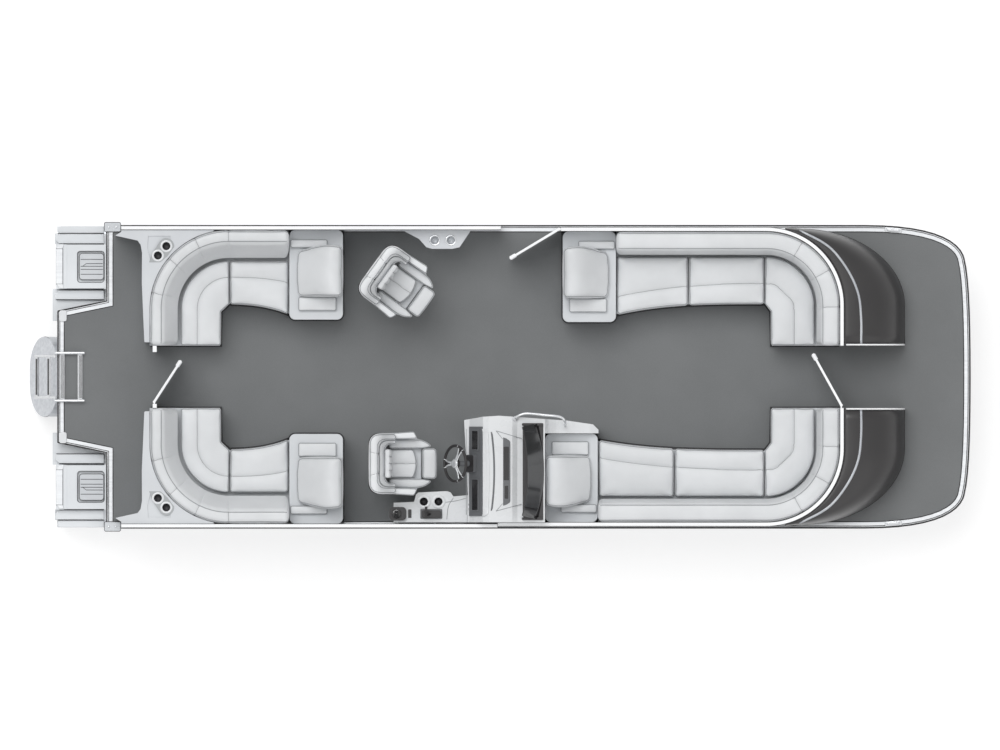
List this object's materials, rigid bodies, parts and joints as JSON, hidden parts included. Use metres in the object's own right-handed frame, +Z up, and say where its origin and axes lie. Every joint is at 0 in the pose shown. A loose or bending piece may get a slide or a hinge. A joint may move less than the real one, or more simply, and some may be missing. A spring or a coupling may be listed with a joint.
{
  "type": "pontoon boat",
  "caption": "Open pontoon boat on three tubes, with fenced deck, corner lounges, helm console, swivel chairs, gates and boarding ladder.",
  "frame": {"origin": "mid-length on the centre line, on the plane that the tubes' undersides stand on", "axes": "+X towards the bow, +Y to port, +Z up"},
  "size_m": [9.41, 3.096, 2.0253],
  "materials": {
    "tube_aluminium": "brushed mill finish",
    "frame_aluminium": "mill finish",
    "deck_flooring": "woven vinyl flooring",
    "trim_aluminium": "satin anodised",
    "pod_aluminium": "satin silver paint",
    "polished_metal": "polished stainless steel",
    "corner_rubber": "moulded corner cap",
    "fence_paint": "white powder coat",
    "fairing_black": "high gloss black",
    "shell_plastic": "light grey gelcoat",
    "base_plastic": "moulded plastic with fine grain",
    "upholstery": "marine vinyl, light grey",
    "console_gelcoat": "white gelcoat",
    "dash_plastic": "dark grey satin",
    "windscreen_smoke": "smoked acrylic",
    "control_black": "black satin",
    "wheel_black": "black grip",
    "chair_plastic": "light grey moulded shell"
  },
  "bodies": {
    "root": {"port_pontoon": "tube_aluminium", "starboard_pontoon": "tube_aluminium", "center_pontoon": "tube_aluminium", "tube_risers": "frame_aluminium", "cross_members": "frame_aluminium", "platform_frame": "frame_aluminium", "deck": "deck_flooring", "deck_trim": "trim_aluminium", "port_engine_pod": "pod_aluminium", "starboard_engine_pod": "pod_aluminium", "stern_corner_caps": "corner_rubber", "bow_lights": "polished_metal", "port_aft_fence": "fence_paint", "port_bow_fence": "fence_paint", "starboard_aft_fence": "fence_paint", "starboard_bow_fence": "fence_paint", "stern_gate_posts": "fence_paint", "port_bow_fairing": "fairing_black", "starboard_bow_fairing": "fairing_black", "port_stern_shell": "shell_plastic", "starboard_stern_shell": "shell_plastic", "port_bow_base": "base_plastic", "starboard_bow_base": "base_plastic", "port_stern_base": "base_plastic", "starboard_stern_base": "base_plastic", "port_bow_cushions": "upholstery", "starboard_bow_cushions": "upholstery", "port_stern_cushions": "upholstery", "starboard_stern_cushions": "upholstery", "console_body": "console_gelcoat", "dash_panel": "dash_plastic", "windscreen": "windscreen_smoke", "console_grab_rail": "polished_metal", "side_console": "console_gelcoat", "throttle": "control_black", "side_table": "shell_plastic", "chair_pedestals": "polished_metal", "ladder_base": "polished_metal"},
    "port_gate": {"port_gate": "fence_paint"},
    "bow_gate": {"bow_gate": "fence_paint"},
    "stern_gate": {"stern_gate": "fence_paint"},
    "captain_chair": {"captain_chair_shell": "chair_plastic", "captain_chair_cushions": "upholstery"},
    "mate_chair": {"mate_chair_shell": "chair_plastic", "mate_chair_cushions": "upholstery"},
    "steering_wheel": {"steering_wheel": "wheel_black"},
    "ladder": {"ladder": "polished_metal"},
    "port_bow_lid_aft": {"port_bow_lid_aft": "upholstery"},
    "port_bow_lid_mid": {"port_bow_lid_mid": "upholstery"},
    "starboard_bow_lid_aft": {"starboard_bow_lid_aft": "upholstery"},
    "starboard_bow_lid_mid": {"starboard_bow_lid_mid": "upholstery"},
    "port_stern_lid": {"port_stern_lid": "upholstery"},
    "starboard_stern_lid": {"starboard_stern_lid": "upholstery"}
  },
  "joints": [
    {"name": "bow_gate_swing", "type": "hinge", "parent": "root", "child": "bow_gate", "pos_m": [3.41, -0.283, 1.205], "axis": [0, 0, 1], "range_deg": [-29, 61]},
    {"name": "side_gate_swing", "type": "hinge", "parent": "root", "child": "port_gate", "pos_m": [0.587, 1.477, 1.205], "axis": [0, 0, 1], "range_deg": [-31, 59]},
    {"name": "stern_gate_swing", "type": "hinge", "parent": "root", "child": "stern_gate", "pos_m": [-3.461, -0.25, 1.205], "axis": [0, 0, 1], "range_deg": [-57, 33]},
    {"name": "captain_chair_swivel", "type": "hinge", "parent": "root", "child": "captain_chair", "pos_m": [-1.003, -0.868, 1.246], "axis": [0, 0, 1], "continuous": true},
    {"name": "mate_chair_swivel", "type": "hinge", "parent": "root", "child": "mate_chair", "pos_m": [-1.028, 0.927, 1.246], "axis": [0, 0, 1], "continuous": true},
    {"name": "steering_turn", "type": "hinge", "parent": "root", "child": "steering_wheel", "pos_m": [-0.4496, -0.868, 1.67463], "axis": [-0.8007, 0, 0.599], "range_deg": [-720, 720]},
    {"name": "ladder_fold", "type": "hinge", "parent": "root", "child": "ladder", "pos_m": [-4.455, 0, 0.87], "axis": [0, 1, 0], "range_deg": [0, 245]},
    {"name": "port_bow_lid_aft_lift", "type": "hinge", "parent": "root", "child": "port_bow_lid_aft", "pos_m": [1.521, 1.205, 1.255], "axis": [-1, 0, 0], "range_deg": [0, 75]},
    {"name": "port_bow_lid_mid_lift", "type": "hinge", "parent": "root", "child": "port_bow_lid_mid", "pos_m": [2.263, 1.205, 1.255], "axis": [-1, 0, 0], "range_deg": [0, 75]},
    {"name": "starboard_bow_lid_aft_lift", "type": "hinge", "parent": "root", "child": "starboard_bow_lid_aft", "pos_m": [1.358, -1.205, 1.255], "axis": [1, 0, 0], "range_deg": [0, 75]},
    {"name": "starboard_bow_lid_mid_lift", "type": "hinge", "parent": "root", "child": "starboard_bow_lid_mid", "pos_m": [2.193, -1.205, 1.255], "axis": [1, 0, 0], "range_deg": [0, 75]},
    {"name": "port_stern_lid_lift", "type": "hinge", "parent": "root", "child": "port_stern_lid", "pos_m": [-2.411, 1.16, 1.255], "axis": [-1, 0, 0], "range_deg": [0, 75]},
    {"name": "starboard_stern_lid_lift", "type": "hinge", "parent": "root", "child": "starboard_stern_lid", "pos_m": [-2.411, -1.16, 1.255], "axis": [1, 0, 0], "range_deg": [0, 75]}
  ]
}
